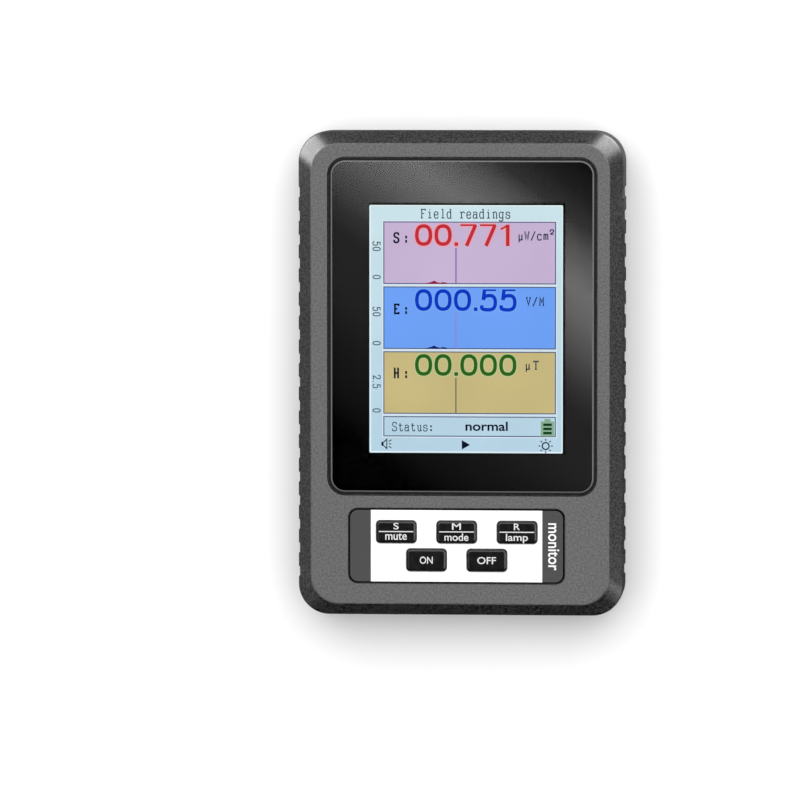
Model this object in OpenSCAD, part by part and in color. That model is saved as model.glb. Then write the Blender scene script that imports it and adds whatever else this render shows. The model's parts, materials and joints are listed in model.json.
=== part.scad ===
// Pocket geiger counter and field-strength meter, lying on its back.
// Millimetres. Origin at the centre of the back face, +Z out of the display, +Y towards the top.

/* [Case] */
// Width over the side grips
body_w = 80; // [78:0.5:82]
// Height from the bottom end to the top end
body_h = 119; // [117:0.2:122]
// Thickness without the keys
body_t = 21; // [21:0.5:23]
// Corner radius at the widest outline
corner_r = 7.6; // [7:0.1:8.4]
// Corner radius of the flat front face
face_corner_r = 6.9; // [6:0.1:7.4]
// Width of the front bevel at the long sides
bevel_side = 3.5; // [3:0.1:3.8]
// Width of the front bevel at the two ends
bevel_end = 3.1; // [2.6:0.05:3.3]
// Depth of the front bevel
bevel_drop = 3.6; // [3:0.1:4]
// Bevel round the back face
rear_bevel = 2.4; // [1.8:0.1:2.6]
// Wall of both shells
wall = 2; // [1.8:0.1:2.2]

/* [Side grips] */
// Grooves down each long side
groove_count = 17; // [9:1:17]
// Distance between two grooves
groove_pitch = 5.83; // [5.6:0.01:5.9]
// Width of a groove at its mouth
groove_w = 2.9; // [2:0.1:3.2]
// Depth of a groove
groove_depth = 0.4; // [0.2:0.1:0.6]

/* [Display window] */
// Width of the window recess
window_w = 66.3; // [64:0.1:66.8]
// Height of the window recess
window_h = 83.1; // [80:0.1:84]
// Corner radius of the window recess
window_r = 4.4; // [3:0.1:5]
// Gap between the lens and its recess
window_gap = 0.42; // [0.2:0.02:0.5]
// Width of the lit part of the display
lcd_view_w = 47.5; // [44:0.1:48]
// Height of the lit part of the display
lcd_view_h = 60.8; // [56:0.1:61]

/* [Keypad] */
// Width of the keypad panel recess
panel_w = 53.4; // [51:0.1:54]
// Height of the keypad panel recess
panel_h = 18.7; // [18.5:0.1:19.2]
// Width of a key cap
key_w = 9.8; // [9:0.1:10]
// Height of a key cap
key_h = 5.45; // [5:0.05:5.6]
// Distance between keys in a row
key_pitch = 14.84; // [14.2:0.02:15]
// Distance between the two rows
key_row_pitch = 6.9; // [6.8:0.05:7]
// How far a key stands above the face
key_rise = 0.8; // [0.6:0.1:1]
// Travel of a key
key_travel = 0.5; // [0.3:0.05:0.5]

/* [Geiger tube] */
// Diameter of the glass
tube_d = 8; // [7:0.1:8.2]
// Length of the glass
tube_len = 58; // [50:1:58]

/* [Battery] */
// Width of the cell
battery_w = 34; // [30:1:36]
// Length of the cell
battery_len = 50; // [40:1:52]
// Thickness of the cell
battery_t = 5.2; // [4:0.1:5.4]

/* [Hidden] */

// A slice of a hulled form is this thin.
eps = 0.01;

// Levels, from the back face up.
parting_z = 9.6;
face_t = 2.6;
inner_z = body_t - face_t;
bevel_z = body_t - bevel_drop;
board_t = 1.6;
board_bottom = 11.4;
board_top = board_bottom + board_t;

// The side walls lean in by this much, so that the shells leave their mould.
draft = 0.05;

// Seam between the shells.
seam_bevel = 0.25;
lip_t = 0.8;
lip_h = 1.1;
lip_gap = 0.1;

// Window stack: mask and tape under the lens, on a ledge.
window_x = 0.55;
window_y = 11.65;
lens_t = 1.4;
mask_t = 0.1;
mask_gap = 0.02;
tape_t = 0.15;
lens_sink = 0.05;
lens_bottom = body_t - lens_sink - lens_t;
mask_top = lens_bottom - mask_gap;
ledge_z = mask_top - mask_t - tape_t;
lens_profile = [[0, 0], [0.02, lens_t - 0.5], [0.12, lens_t - 0.38], [0.5, lens_t - 0.08], [0.82, lens_t - eps]];

// Display module under the ledge.
lcd_x = 1.45;
lcd_y = 11;
lcd_w = 51.5;
lcd_h = 69;
lcd_low = 1.6;
lcd_top = inner_z - 0.2;
polarizer_t = 0.2;
glass_t = 1.4;
backlight_t = 1.5;
frame_wall = 0.4;
opening_w = 49.5;
opening_h = 63;

// Keypad.
panel_x = -0.8;
panel_y = -42.2;
panel_r = 2.4;
panel_depth = 0.8;
panel_gap = 0.3;
key_x = -0.75;
key_y = -38.75;
key_r = 0.95;
key_gap = 0.15;
key_round = 0.45;
flange_w = 11.3;
flange_h = 6.2;
flange_t = 0.9;
flange_gap = 0.15;
key_base = inner_z - flange_gap - flange_t;
key_places = [
    ["mute", [-key_pitch, 0]], ["play", [0, 0]], ["light", [key_pitch, 0]],
    ["on", [-key_pitch / 2, -key_row_pitch]], ["off", [key_pitch / 2, -key_row_pitch]]
];

// Tact switches under the keys.
switch_w = 6;
switch_h = 3.5;
switch_top = board_top + switch_h;
cover_t = 0.3;
plunger_d = 3.4;
plunger_bore = 3.6;
plunger_len = key_base - board_top - 2.1;
switch_floor = board_top + 1;
dome_t = 0.25;
dome_h = 0.55;

// Fasteners.
screw_x = 33.6;
screw_y = 52.2;
screw_d = 2.6;
screw_clear = 0.05;
screw_head_d = 4.8;
screw_head_h = 1.9;
screw_len = 11.5;
boss_d = 6.4;
head_bore_d = 5.4;
head_seat_z = 3.4;
boss_meet_z = 9.4;
board_screw_x = 32.6;
board_screw_ys = [-33, 34];
board_screw_d = 2;
standoff_d = 4.6;

// Side grips are centred a little below the middle.
groove_center_y = -2.2;
groove_floor_w = groove_w - 0.8;

// Parts on the underside of the board.
tube_y = 40.5;
tube_z = board_bottom - 4.9;
cap_len = 4.2;
battery_x = -3;
battery_y = 4;
battery_tape_t = 0.4;
buzzer_x = -22;
buzzer_y = -39;
buzzer_d = 12;
buzzer_h = 5.4;
coil_x = -29;
coil_y = -2;
coil_d = 6.6;
coil_core_d = 4;
coil_z = board_bottom - coil_d / 2 - 0.02;
hv_x = 25;
hv_y = 20;
label_w = 46;
label_h = 30;
label_y = 14;
label_t = 0.2;
slot_count = 5;
slot_w = 1.2;
slot_len = 11;
slot_pitch = 2.6;
usb_w = 8.9;
usb_h = 3.2;
usb_len = 7.3;
usb_z = board_bottom - usb_h / 2;
usb_mouth_y = -body_h / 2 + 0.5;

// ---------- Shared shapes ----------

function unit(v) = v / norm(v);

// Points of an arc that rounds the corner b of the path a-b-c.
function arc_corner(a, b, c, r, n = 4) =
    let (u = unit(a - b), v = unit(c - b), half = acos(u * v) / 2,
         centre = b + unit(u + v) * r / sin(half),
         from = unit(b + u * r / tan(half) - centre),
         to = unit(b + v * r / tan(half) - centre))
    [for (i = [0:n]) centre + r * unit(from * (n - i) + to * i)];

module rounded_rect(w, h, r) {
    square([w - 2 * r, h], center = true);
    square([w, h - 2 * r], center = true);
    for (x = [-1, 1], y = [-1, 1])
        translate([x * (w / 2 - r), y * (h / 2 - r)]) circle(r);
}

module slab(w, h, r, z0, z1, at = [0, 0], fn = 48)
    translate([at[0], at[1], z0]) linear_extrude(z1 - z0) rounded_rect(w, h, r, $fn = fn);

module box(size, at)
    translate([at[0] - size[0] / 2, at[1] - size[1] / 2, at[2]]) cube(size);

module disc(d, z0, z1, at = [0, 0])
    translate([at[0], at[1], z0]) cylinder(d = d, h = z1 - z0, $fn = 48);

module rod_x(d, len, at)
    translate(at) rotate([0, 90, 0]) cylinder(d = d, h = len, center = true, $fn = 48);

module rod_y(d, len, at)
    translate(at) rotate([90, 0, 0]) cylinder(d = d, h = len, center = true, $fn = 48);

module at_corners(x, y)
    for (sx = [-1, 1], sy = [-1, 1]) translate([sx * x, sy * y, 0]) children();

module at_board_screws()
    for (sx = [-1, 1], y = board_screw_ys) translate([sx * board_screw_x, y, 0]) children();

module at_key(name)
    for (k = key_places) if (k[0] == name)
        translate([key_x + k[1][0], key_y + k[1][1], 0]) children();

module at_keys()
    for (k = key_places) translate([key_x + k[1][0], key_y + k[1][1], 0]) children();

// ---------- Case ----------

// One level of the outline. Inset 0 is the widest outline, inset bevel_side the front face.
module case_slice(inset, z) {
    share = inset / bevel_side;
    r = corner_r - (corner_r - face_corner_r) * share;
    translate([0, 0, z]) linear_extrude(eps)
        rounded_rect(body_w - 2 * inset, body_h - 2 * bevel_end * share, r, $fn = 64);
}

module case_form(profile) hull() for (p = profile) case_slice(p[0], p[1]);

module grip_grooves()
    for (side = [-1, 1], i = [0:groove_count - 1])
        translate([side * body_w / 2,
                   groove_center_y + (i - (groove_count - 1) / 2) * groove_pitch, -1])
            linear_extrude(body_t + 2) polygon([
                [side, -groove_w / 2 - 1], [0, -groove_w / 2],
                [-side * groove_depth, -groove_floor_w / 2],
                [-side * groove_depth, groove_floor_w / 2],
                [0, groove_w / 2], [side, groove_w / 2 + 1]
            ]);

module usb_opening(z0, z1)
    translate([0, -body_h / 2, usb_z]) rotate([90, 0, 0])
        linear_extrude(8, center = true) intersection() {
            rounded_rect(usb_w + 0.7, usb_h + 0.7, 1.7, $fn = 32);
            translate([-10, z0 - usb_z]) square([20, z1 - z0]);
        }

module front_shell() color([0.33, 0.33, 0.34]) {
    top = body_t - eps;
    profile = concat(
        [[seam_bevel, parting_z], [0, parting_z + seam_bevel]],
        arc_corner([0, parting_z], [draft, bevel_z], [bevel_side, top], 1.4),
        arc_corner([draft, bevel_z], [bevel_side, top], [2 * bevel_side, top], 0.5)
    );
    difference() {
        union() {
            difference() {
                case_form(profile);
                grip_grooves();
                slab(body_w - 2 * wall, body_h - 2 * wall, corner_r - wall, 0, bevel_z - 0.4);
                slab(body_w - 2 * wall - 5.4, body_h - 2 * wall - 4.6, corner_r - 3, 0, inner_z);
                slab(body_w - 2 * (wall - lip_t - lip_gap), body_h - 2 * (wall - lip_t - lip_gap),
                     corner_r - 1, 0, parting_z + lip_h + lip_gap);
            }
            at_corners(screw_x, screw_y) disc(boss_d, boss_meet_z, inner_z + 0.5);
            at_board_screws() disc(standoff_d, board_top, inner_z + 0.5);
        }
        slab(window_w, window_h, window_r, ledge_z, body_t + 1, [window_x, window_y]);
        slab(opening_w, opening_h, 1, inner_z - 1, body_t, [lcd_x, lcd_y]);
        slab(panel_w, panel_h, panel_r, body_t - panel_depth, body_t + 1, [panel_x, panel_y]);
        at_keys() slab(key_w + 2 * key_gap, key_h + 2 * key_gap, key_r + key_gap,
                       inner_z - 1, body_t, fn = 32);
        at_corners(screw_x, screw_y) disc(screw_d + 2 * screw_clear, 0, head_seat_z + screw_len + 1);
        at_board_screws() disc(board_screw_d + 2 * screw_clear, 0, board_top + 4.5);
        usb_opening(parting_z - 1, usb_z + 3);
    }
}

module sound_slot(x) translate([x, buzzer_y, -1]) linear_extrude(wall + 2) {
    square([slot_w, slot_len - slot_w], center = true);
    for (y = [-1, 1]) translate([0, y * (slot_len - slot_w) / 2]) circle(d = slot_w, $fn = 24);
}

module rear_shell() color([0.27, 0.27, 0.28]) {
    profile = concat(
        arc_corner([2 * rear_bevel, 0], [rear_bevel, 0], [draft, rear_bevel], 1),
        arc_corner([rear_bevel, 0], [draft, rear_bevel], [0, parting_z], 1.4),
        [[0, parting_z - seam_bevel - eps], [seam_bevel, parting_z - eps]]
    );
    difference() {
        union() {
            difference() {
                union() {
                    case_form(profile);
                    slab(body_w - 2 * (wall - lip_t), body_h - 2 * (wall - lip_t), corner_r - 1.2,
                         parting_z - 1, parting_z + lip_h);
                }
                grip_grooves();
                slab(body_w - 2 * wall, body_h - 2 * wall, corner_r - wall,
                     rear_bevel + 0.6, body_t);
                slab(body_w - 2 * wall - 3.6, body_h - 2 * wall - 3.6, corner_r - 3, wall, body_t);
            }
            at_corners(screw_x, screw_y) disc(boss_d + 1.6, 1, boss_meet_z);
        }
        at_corners(screw_x, screw_y) disc(screw_d + 0.6, -1, body_t);
        at_corners(screw_x, screw_y) disc(head_bore_d, -1, head_seat_z);
        slab(label_w + 0.4, label_h + 0.4, 1.7, -1, label_t, [0, label_y]);
        for (i = [0:slot_count - 1])
            sound_slot(buzzer_x + (i - (slot_count - 1) / 2) * slot_pitch);
        usb_opening(usb_z - 3, parting_z + 3);
    }
}

module rear_label() color([0.75, 0.76, 0.77])
    slab(label_w, label_h, 1.5, 0.02, label_t, [0, label_y]);

// ---------- Window and display ----------

module window_lens() color([0.9, 0.95, 1, 0.3]) {
    w = window_w - 2 * window_gap;
    h = window_h - 2 * window_gap;
    r = window_r - window_gap;
    translate([window_x, window_y, lens_bottom]) hull() for (p = lens_profile)
        translate([0, 0, p[1]]) linear_extrude(eps)
            rounded_rect(w - 2 * p[0], h - 2 * p[0], r - p[0], $fn = 48);
}

module window_mask() color([0.02, 0.02, 0.02]) difference() {
    slab(window_w - 1.2, window_h - 1.2, window_r - 0.6, mask_top - mask_t, mask_top,
         [window_x, window_y]);
    slab(lcd_view_w, lcd_view_h, 0.3, 0, body_t, [lcd_x, lcd_y], fn = 24);
}

module lens_tape() color([0.08, 0.08, 0.08]) difference() {
    slab(window_w - 1.6, window_h - 1.6, window_r - 0.8, ledge_z, ledge_z + tape_t,
         [window_x, window_y]);
    slab(opening_w + 1, opening_h + 1, 1.5, 0, body_t, [lcd_x, lcd_y], fn = 24);
}

module lcd_polarizer() color([0.6, 0.75, 0.8])
    box([lcd_w - 2.6, lcd_h - 5.4, polarizer_t], [lcd_x, lcd_y, lcd_top - polarizer_t]);

module lcd_glass() color([0.35, 0.42, 0.45])
    box([lcd_w, lcd_h, glass_t], [lcd_x, lcd_y - lcd_low, lcd_top - polarizer_t - glass_t]);

module lcd_backlight() color([0.93, 0.93, 0.9]) {
    z = lcd_top - polarizer_t - glass_t - backlight_t;
    box([lcd_w, lcd_h, backlight_t], [lcd_x, lcd_y - lcd_low, z]);
}

module lcd_frame() color([0.7, 0.71, 0.73]) {
    low = lcd_top - polarizer_t - glass_t - backlight_t;
    at = [lcd_x, lcd_y - lcd_low, low - frame_wall];
    size = [lcd_w + 2 * frame_wall + 0.2, lcd_h + 2 * frame_wall + 0.2, 0];
    difference() {
        box(size + [0, 0, lcd_top - 0.4 - at[2]], at);
        box([lcd_w + 0.2, lcd_h + 0.2, 9], [at[0], at[1], low]);
        box([26, 9, 9], [lcd_x, lcd_y - lcd_low - lcd_h / 2, low - 1]);
    }
}

module lcd_bracket() color([0.15, 0.15, 0.16]) {
    top = lcd_top - polarizer_t - glass_t - backlight_t - frame_wall;
    difference() {
        union() {
            slab(lcd_w + 5, lcd_h + 4, 1.5, board_top, top, [lcd_x, lcd_y - lcd_low + 1], fn = 24);
            for (side = [-1, 1], y = [-18, 18])
                box([1.4, 10, lcd_top - 1 - board_top],
                    [lcd_x + side * (lcd_w / 2 + 1.5), lcd_y + y, board_top]);
        }
        slab(lcd_w - 10, lcd_h - 12, 2, board_top - 1, top + 1, [lcd_x, lcd_y - lcd_low], fn = 24);
        for (x = [-18, 18], y = [-1, 1])
            box([7, 9, 9], [lcd_x + x, lcd_y - lcd_low + y * lcd_h / 2 + 1, top - 0.8]);
        box([27, 14, 9], [lcd_x, lcd_y - lcd_low - lcd_h / 2, board_top - 1]);
    }
}

// Centreline of the ribbon: out of the glass, a half turn down, and back under to the board.
flex_t = 0.2;
flex_w = 22;
flex_top = lcd_top - polarizer_t - glass_t + 0.1;
flex_low = board_top + 0.7;
flex_r = (flex_top - flex_low) / 2;
flex_start_y = lcd_y - lcd_low - lcd_h / 2 - 0.05;
flex_turn_y = flex_start_y - 1.6;
function flex_turn(r) = [for (a = [90:15:270]) [flex_turn_y + r * cos(a), flex_low + flex_r + r * sin(a)]];

module lcd_flex() color([0.75, 0.5, 0.2])
    translate([lcd_x - flex_w / 2, 0, 0]) rotate([90, 0, 90]) linear_extrude(flex_w)
        polygon(concat(
            [[flex_start_y, flex_top + flex_t / 2]], flex_turn(flex_r + flex_t / 2),
            [[flex_start_y + 1.2, flex_low - flex_t / 2], [flex_start_y + 1.2, flex_low + flex_t / 2]],
            [for (i = [12:-1:0]) flex_turn(flex_r - flex_t / 2)[i]],
            [[flex_start_y, flex_top - flex_t / 2]]
        ));

module lcd_connector() color([0.85, 0.82, 0.72])
    difference() {
        box([25, 3.6, 1.3], [lcd_x, flex_start_y + 3, board_top]);
        box([flex_w + 0.2, 2, flex_t + 0.2], [lcd_x, flex_start_y + 1.2 - 0.9, flex_low - 0.2]);
    }

// ---------- Keys and switches ----------

module keypad_panel() color([0.96, 0.96, 0.95]) difference() {
    slab(panel_w - 2 * panel_gap, panel_h - 2 * panel_gap, panel_r - panel_gap,
         body_t - panel_depth, body_t - 0.08, [panel_x, panel_y]);
    at_keys() slab(key_w + 2 * key_gap, key_h + 2 * key_gap, key_r + key_gap,
                   inner_z, body_t + 1, fn = 32);
}

module key_cap(name) color([0.03, 0.03, 0.03]) at_key(name) {
    top = body_t + key_rise;
    slab(flange_w, flange_h, 0.8, key_base, key_base + flange_t, fn = 24);
    hull() {
        slab(key_w, key_h, key_r, key_base + flange_t - 0.2, top - key_round, fn = 32);
        slab(key_w - 0.26 * key_round, key_h - 0.26 * key_round, key_r - 0.1,
             top - key_round, top - key_round / 2, fn = 32);
        slab(key_w - 1.2 * key_round, key_h - 1.2 * key_round, key_r - 0.25,
             top - key_round / 2, top - 0.06, fn = 32);
        slab(key_w - 2.2 * key_round, key_h - 2.2 * key_round, key_r - 0.4,
             top - 0.06, top, fn = 32);
    }
}

module key_plunger(name) color([0.12, 0.12, 0.12]) at_key(name)
    disc(plunger_d, key_base - plunger_len, key_base);

module key_switch(name) color([0.1, 0.1, 0.1]) at_key(name) difference() {
    union() {
        box([switch_w, switch_w, switch_h - cover_t], [0, 0, board_top]);
        for (x = [-1, 1], y = [-1, 1])
            box([1.3, 0.7, 0.25], [x * 3.5, y * 2.25, board_top]);
    }
    disc(plunger_bore, switch_floor, body_t);
}

module switch_covers() color([0.75, 0.75, 0.77]) at_keys() difference() {
    box([switch_w, switch_w, cover_t], [0, 0, switch_top - cover_t]);
    disc(plunger_bore, board_top, body_t);
}

module switch_domes() color([0.8, 0.8, 0.8]) at_keys() {
    disc(plunger_bore - 0.3, switch_floor, switch_floor + dome_t);
    disc(1.6, switch_floor + dome_t, switch_floor + dome_h);
}

// ---------- Board and sensors ----------

module main_board() color([0.05, 0.28, 0.14]) difference() {
    slab(body_w - 2 * wall - 2.6, body_h - 2 * wall - 2.6, corner_r - 3.2, board_bottom, board_top);
    at_corners(screw_x, screw_y) disc(boss_d + 1, 0, body_t);
    at_corners(screw_x + 3, screw_y) box([6, boss_d + 1, 5], [0, 0, board_bottom - 1]);
    at_board_screws() disc(board_screw_d + 0.3, 0, body_t);
}

module controller_chip() color([0.07, 0.07, 0.07]) {
    at = [4, -37, board_bottom - 1.5];
    box([12, 12, 1.4], at);
    for (turn = [0, 90, 180, 270], i = [-6:6])
        translate([at[0], at[1], 0]) rotate([0, 0, turn])
            box([0.35, 1.3, 0.25], [i * 0.8, 6.6, board_bottom - 0.25]);
}

// Each chip: place, size.
chip_places = [
    [[20, -36], [5, 6, 1.4]], [[20, -45], [4, 5, 1.3]], [[-8, -47], [6, 5, 1.5]],
    [[28, -8], [5, 4, 1.2]], [[-29, 22], [5, 5, 1.2]], [[29, 6], [4, 3, 1.1]]
];

module board_chips() color([0.08, 0.08, 0.08])
    for (c = chip_places)
        box(c[1], [c[0][0], c[0][1], board_bottom - c[1][2]]);

module board_passives() color([0.62, 0.5, 0.36]) {
    for (i = [0:5]) box([1.2, 2, 0.8], [-12 + i * 2.6, -28.5, board_bottom - 0.8]);
    for (i = [0:6]) box([2, 1.2, 0.8], [32, -2 + i * 2.6, board_bottom - 0.8]);
    for (i = [0:4]) box([2, 1.2, 0.8], [13.5, -50 + i * 2.4, board_bottom - 0.8]);
    for (i = [0:4]) box([1.2, 2, 0.8], [-33.2, 8 + i * 3, board_bottom - 0.8]);
}

module hv_core() color([0.2, 0.2, 0.21]) translate([hv_x, hv_y, 0]) {
    disc(9, board_bottom - 6, board_bottom - 5);
    disc(4, board_bottom - 5, board_bottom - 1);
    disc(9, board_bottom - 1, board_bottom);
}

module hv_winding() color([0.7, 0.35, 0.15]) translate([hv_x, hv_y, 0]) difference() {
    disc(8, board_bottom - 4.9, board_bottom - 1.1);
    disc(4.2, 0, body_t);
}

module hv_capacitors() color([0.2, 0.35, 0.65])
    for (i = [0:2]) hull() {
        rod_x(4.6, 1.2, [19.4 + i * 4.8, 31, board_bottom - 3.2]);
        box([1, 2.6, 0.4], [19.4 + i * 4.8, 31, board_bottom - 0.4]);
    }

module coil_core() color([0.22, 0.22, 0.23]) rod_y(coil_core_d, 26, [coil_x, coil_y, coil_z]);

module coil_winding() color([0.72, 0.38, 0.16]) difference() {
    rod_y(coil_d, 18, [coil_x, coil_y, coil_z]);
    rod_y(coil_core_d + 0.1, 30, [coil_x, coil_y, coil_z]);
}

module field_plate() color([0.8, 0.62, 0.3]) box([44, 5, 0.3], [0, 52.4, board_top]);

// ---------- Geiger tube ----------

module tube_glass() color([0.8, 0.85, 0.85, 0.4]) difference() {
    rod_x(tube_d, tube_len, [0, tube_y, tube_z]);
    rod_x(tube_d - 1.4, tube_len + 1, [0, tube_y, tube_z]);
}

module tube_cathode() color([0.6, 0.61, 0.63]) difference() {
    rod_x(tube_d - 1.6, tube_len - 8, [0, tube_y, tube_z]);
    rod_x(tube_d - 2.4, tube_len, [0, tube_y, tube_z]);
}

module tube_anode() color([0.75, 0.75, 0.75]) rod_x(0.6, tube_len, [0, tube_y, tube_z]);

module tube_caps() color([0.78, 0.78, 0.8]) for (side = [-1, 1]) difference() {
    rod_x(tube_d + 0.6, cap_len, [side * (tube_len / 2 + 0.6), tube_y, tube_z]);
    rod_x(tube_d + 0.02, cap_len, [side * (tube_len / 2 - 1.5), tube_y, tube_z]);
}

module tube_clips() color([0.8, 0.68, 0.4]) for (side = [-1, 1])
    translate([side * (tube_len / 2 + 0.8), tube_y, 0]) {
        rotate([90, 0, 90]) linear_extrude(3, center = true) difference() {
            union() {
                translate([0, tube_z]) circle(d = tube_d + 1.6, $fn = 48);
                translate([-2.5, tube_z]) square([5, board_bottom - tube_z]);
            }
            translate([0, tube_z]) circle(d = tube_d + 0.62, $fn = 48);
            translate([-2.4, tube_z - 8]) square([4.8, 6]);
        }
    }

// ---------- Power and sound ----------

battery_z = wall + battery_tape_t;

module battery_pouch() color([0.78, 0.79, 0.8]) {
    slab(battery_w, battery_len, 1.6, battery_z, battery_z + battery_t, [battery_x, battery_y]);
    box([battery_w - 4, 2.6, 1.2],
        [battery_x, battery_y - battery_len / 2 - 1.2, battery_z + battery_t / 2 - 0.6]);
}

module battery_tape() color([0.2, 0.2, 0.2])
    box([battery_w - 8, battery_len - 12, battery_tape_t], [battery_x, battery_y, wall]);

plug_x = 22;
plug_y = -22;
lead_d = 1.1;
lead_top_z = board_bottom - 3.4;

// A lead leaves the cell's end, runs across and rises into the plug.
module lead(y, x_end) {
    z = battery_z + battery_t / 2;
    path = [[battery_x + 10, y, z], [x_end - 2, y, z],
            [x_end, y + 0.4, lead_top_z], [x_end, plug_y - 2.6, lead_top_z]];
    for (i = [0:2]) hull() {
        translate(path[i]) sphere(d = lead_d, $fn = 16);
        translate(path[i + 1]) sphere(d = lead_d, $fn = 16);
    }
}

module lead_red() color([0.75, 0.1, 0.08]) lead(battery_y - battery_len / 2 - 4.4, plug_x - 1);

module lead_black() color([0.05, 0.05, 0.05]) lead(battery_y - battery_len / 2 - 6.2, plug_x + 1);

module battery_plug() color([0.94, 0.93, 0.88])
    box([5.6, 4, 3.4], [plug_x, plug_y, board_bottom - 5.1]);

module battery_socket() color([0.9, 0.89, 0.84]) difference() {
    box([8, 5.4, 5.6], [plug_x, plug_y + 0.6, board_bottom - 5.6]);
    box([5.8, 5.4, 3.6], [plug_x, plug_y - 0.6, board_bottom - 5.2]);
}

module usb_shell() color([0.78, 0.78, 0.8])
    translate([0, usb_mouth_y, usb_z]) rotate([-90, 0, 0]) linear_extrude(usb_len)
        difference() {
            rounded_rect(usb_w, usb_h, 1.5, $fn = 32);
            rounded_rect(usb_w - 0.6, usb_h - 0.6, 1.2, $fn = 32);
        }

module usb_tongue() color([0.06, 0.06, 0.06]) {
    box([6.6, usb_len - 1.2, 0.7], [0, usb_mouth_y + (usb_len + 0.8) / 2, usb_z - 0.35]);
    translate([0, usb_mouth_y + usb_len - 1.5, usb_z]) rotate([-90, 0, 0])
        linear_extrude(1.4) rounded_rect(usb_w - 0.7, usb_h - 0.7, 1.15, $fn = 32);
}

module buzzer_case() color([0.06, 0.06, 0.06]) translate([buzzer_x, buzzer_y, 0]) difference() {
    disc(buzzer_d, board_bottom - buzzer_h, board_bottom);
    disc(buzzer_d - 1.6, board_bottom - buzzer_h + 1, board_bottom - 1);
    disc(2.4, board_bottom - buzzer_h - 1, board_bottom - 2);
}

module buzzer_disc() color([0.8, 0.65, 0.3])
    disc(buzzer_d - 1.8, board_bottom - 2.4, board_bottom - 2, [buzzer_x, buzzer_y]);

module sound_mesh() color([0.1, 0.1, 0.1])
    disc(14.5, wall, wall + 0.3, [buzzer_x, buzzer_y]);

// ---------- Fasteners ----------

// A pan-head screw pointing up, its head's seat at z.
module screw(d, len, head_d, head_h, z) difference() {
    union() {
        disc(d, z, z + len);
        disc(head_d, z - head_h, z);
    }
    for (turn = [0, 90]) rotate([0, 0, turn])
        box([head_d * 0.55, head_d * 0.14, head_h], [0, 0, z - 1.5 * head_h]);
}

module case_screws() color([0.25, 0.25, 0.26]) at_corners(screw_x, screw_y)
    screw(screw_d, screw_len, screw_head_d, screw_head_h, head_seat_z);

module board_screws() color([0.7, 0.7, 0.72]) at_board_screws()
    screw(board_screw_d, 5.4, 3.6, 1.3, board_bottom);

// ---------- Parts ----------

front_shell();
rear_shell();
window_lens();
window_mask();
lens_tape();
keypad_panel();
for (k = key_places) {
    key_cap(k[0]);
    key_plunger(k[0]);
    key_switch(k[0]);
}
switch_covers();
switch_domes();
lcd_glass();
lcd_polarizer();
lcd_backlight();
lcd_frame();
lcd_bracket();
lcd_flex();
lcd_connector();
main_board();
controller_chip();
board_chips();
board_passives();
hv_core();
hv_winding();
hv_capacitors();
coil_core();
coil_winding();
field_plate();
tube_glass();
tube_cathode();
tube_anode();
tube_caps();
tube_clips();
battery_pouch();
battery_tape();
lead_red();
lead_black();
battery_plug();
battery_socket();
usb_shell();
usb_tongue();
buzzer_case();
buzzer_disc();
sound_mesh();
case_screws();
board_screws();
rear_label();
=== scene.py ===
"""Looks of the handheld geiger counter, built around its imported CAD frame.

Lengths are written in millimetres and multiplied by MM where Blender needs metres. Axes are the frame's:
+Z out of the display, +Y towards the top end, +X towards the display's right-hand side.
"""

import json
import math

import bmesh
import bpy
from mathutils import Matrix, Vector


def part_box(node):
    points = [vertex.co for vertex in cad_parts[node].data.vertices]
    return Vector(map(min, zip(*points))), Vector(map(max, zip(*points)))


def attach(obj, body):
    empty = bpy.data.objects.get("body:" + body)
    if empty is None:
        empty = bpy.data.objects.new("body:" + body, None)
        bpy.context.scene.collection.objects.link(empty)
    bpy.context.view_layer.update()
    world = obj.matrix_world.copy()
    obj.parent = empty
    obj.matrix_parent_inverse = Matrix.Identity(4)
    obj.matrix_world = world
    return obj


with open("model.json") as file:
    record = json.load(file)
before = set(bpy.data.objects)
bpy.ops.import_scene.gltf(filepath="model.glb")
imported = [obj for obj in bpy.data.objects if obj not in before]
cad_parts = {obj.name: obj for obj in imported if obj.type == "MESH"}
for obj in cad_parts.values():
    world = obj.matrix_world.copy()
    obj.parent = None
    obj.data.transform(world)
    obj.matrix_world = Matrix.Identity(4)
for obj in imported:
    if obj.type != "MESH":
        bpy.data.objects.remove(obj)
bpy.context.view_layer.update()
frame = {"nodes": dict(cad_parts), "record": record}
scene = bpy.context.scene

MM = 0.001
WHITE = (1.0, 1.0, 1.0)
BLACK = (0.0, 0.0, 0.0)


# ---------- Places taken from the frame ----------

def middle(node):
    """The middle of a CAD node's box, in millimetres."""
    low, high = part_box(node)
    return (low + high) / 2 / MM


def size_of(node):
    """The size of a CAD node's box, in millimetres."""
    low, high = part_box(node)
    return (high - low) / MM


def top_of(node):
    """The height of a CAD node's top, in millimetres."""
    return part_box(node)[1].z / MM


face_z = top_of("front_shell")
display = middle("lcd_polarizer")
display_z = top_of("lcd_polarizer")
panel = middle("keypad_panel")
panel_z = top_of("keypad_panel")
panel_half_w = size_of("keypad_panel").x / 2
panel_half_h = size_of("keypad_panel").y / 2
lens = middle("window_lens")
key_z = top_of("key_play")


# ---------- Material graphs ----------

def srgb(red, green, blue):
    """A linear colour from the eight-bit colour that a screen shows."""
    def linear(value):
        value /= 255
        return value / 12.92 if value <= 0.04045 else ((value + 0.055) / 1.055) ** 2.4
    return linear(red), linear(green), linear(blue)


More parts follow.
